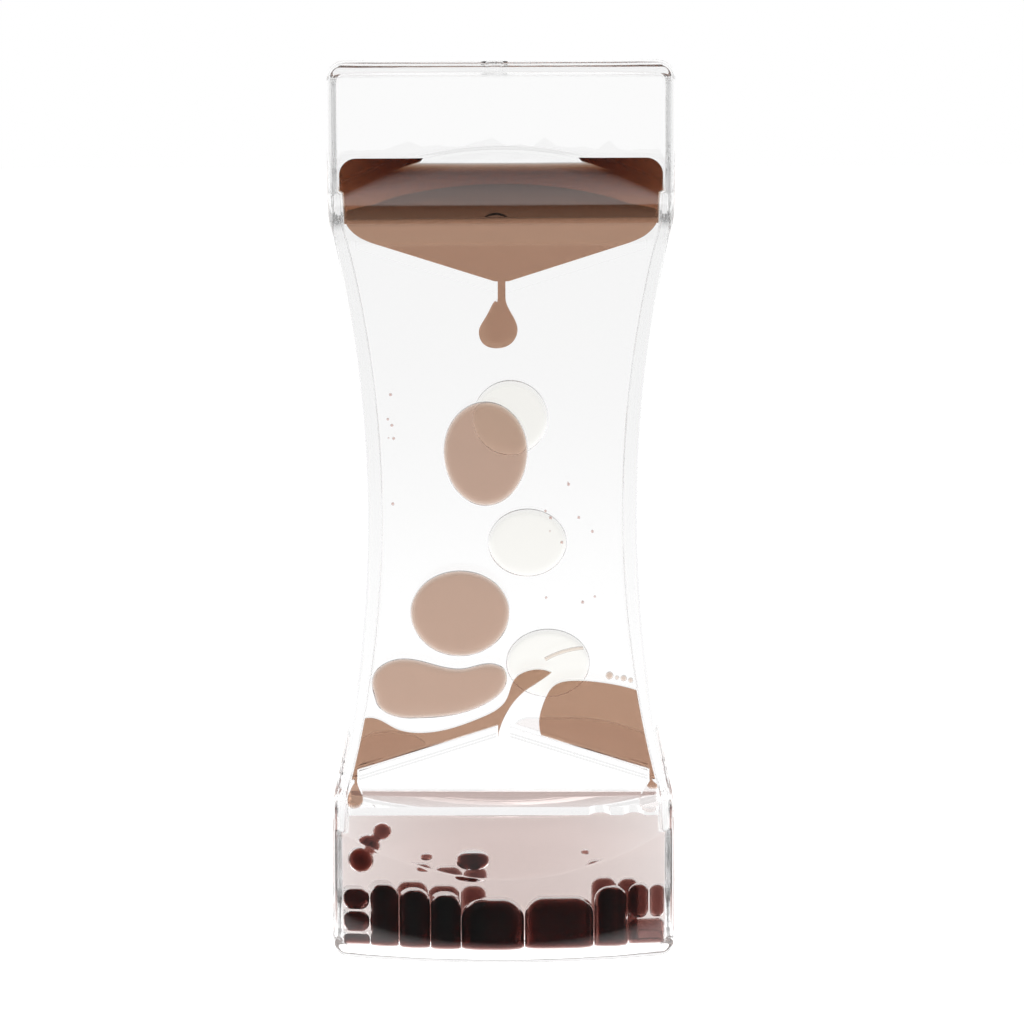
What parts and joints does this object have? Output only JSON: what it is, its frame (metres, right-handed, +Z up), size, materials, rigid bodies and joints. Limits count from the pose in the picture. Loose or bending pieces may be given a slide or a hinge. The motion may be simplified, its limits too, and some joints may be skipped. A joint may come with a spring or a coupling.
{
  "type": "liquid motion timer",
  "caption": "Clear waisted hourglass-shaped liquid timer with brown and cream water drops falling through oil in thin front and rear chambers.",
  "frame": {"origin": "centre of the flat base, on the surface the timer stands on", "axes": "+X to the right seen from the front, -Y out of the front face with the brown water, +Z up"},
  "size_m": [0.0536, 0.031, 0.14],
  "materials": {
    "clear_acrylic": "polished clear",
    "divider_acrylic": "polished clear",
    "vane_acrylic": "polished clear",
    "plug_acrylic": "gloss",
    "brown_water": "clear dyed water",
    "cream_water": "faintly dyed water"
  },
  "bodies": {
    "housing": {"brown_beads": "brown_water", "brown_heap_back_drop_1": "brown_water", "brown_heap_back_drop_2": "brown_water", "brown_heap_back_drop_3": "brown_water", "brown_heap_big_left": "brown_water", "brown_heap_big_right": "brown_water", "brown_heap_first_column": "brown_water", "brown_heap_fourth_column": "brown_water", "brown_heap_right_foot": "brown_water", "brown_heap_right_inner": "brown_water", "brown_heap_right_outer": "brown_water", "brown_heap_second_column": "brown_water", "brown_heap_second_column_back": "brown_water", "brown_heap_stack_bottom": "brown_water", "brown_heap_stack_middle": "brown_water", "brown_heap_stack_top": "brown_water", "brown_heap_third_column": "brown_water", "brown_heap_third_column_back": "brown_water", "brown_left_pool": "brown_water", "brown_resting_drop": "brown_water", "brown_right_pool": "brown_water", "brown_thread": "brown_water", "brown_top_pool": "brown_water", "centre_divider": "divider_acrylic", "cream_base_pool": "cream_water", "cream_left_pool": "cream_water", "cream_right_pool": "cream_water", "cream_top_pool": "cream_water", "front_filler_plug": "plug_acrylic", "front_funnel_vane_left": "vane_acrylic", "front_funnel_vane_right": "vane_acrylic", "front_roof_vane_left": "vane_acrylic", "front_roof_vane_right": "vane_acrylic", "front_shell": "clear_acrylic", "rear_filler_plug": "plug_acrylic", "rear_funnel_vane_left": "vane_acrylic", "rear_funnel_vane_right": "vane_acrylic", "rear_roof_vane_left": "vane_acrylic", "rear_roof_vane_right": "vane_acrylic", "rear_shell": "clear_acrylic"},
    "brown_upper_drop": {"brown_upper_drop": "brown_water"},
    "brown_lower_drop": {"brown_lower_drop": "brown_water"},
    "brown_sinking_pair": {"brown_sinking_pair": "brown_water"},
    "brown_sinking_drops": {"brown_sinking_drop": "brown_water", "brown_satellites": "brown_water"},
    "cream_upper_drop": {"cream_upper_drop": "cream_water"},
    "cream_middle_drop": {"cream_middle_drop": "cream_water"},
    "cream_lower_drop": {"cream_lower_drop": "cream_water"}
  },
  "joints": [
    {"name": "brown_upper_fall", "type": "slide", "parent": "housing", "child": "brown_upper_drop", "axis": [0, 0, -1], "range_m": [-0.0078, 0.0011]},
    {"name": "brown_lower_fall", "type": "slide", "parent": "housing", "child": "brown_lower_drop", "axis": [0, 0, -1], "range_m": [-0.0078, 0.0011]},
    {"name": "cream_upper_fall", "type": "slide", "parent": "housing", "child": "cream_upper_drop", "axis": [0, 0, -1], "range_m": [-0.0054, 0.0029]},
    {"name": "cream_middle_fall", "type": "slide", "parent": "housing", "child": "cream_middle_drop", "axis": [0, 0, -1], "range_m": [-0.0054, 0.0029]},
    {"name": "cream_lower_fall", "type": "slide", "parent": "housing", "child": "cream_lower_drop", "axis": [0, 0, -1], "range_m": [-0.0054, 0.0029]},
    {"name": "brown_pair_sink", "type": "slide", "parent": "housing", "child": "brown_sinking_pair", "axis": [0, 0, -1], "range_m": [-0.0044, 0.0015]},
    {"name": "brown_drop_sink", "type": "slide", "parent": "housing", "child": "brown_sinking_drops", "axis": [0, 0, -1], "range_m": [-0.0026, 0.0012]}
  ],
  "couplings": [
    {"joint": "brown_lower_fall", "follows": "brown_upper_fall", "ratio": 1},
    {"joint": "cream_middle_fall", "follows": "cream_upper_fall", "ratio": 1},
    {"joint": "cream_lower_fall", "follows": "cream_upper_fall", "ratio": 1}
  ]
}
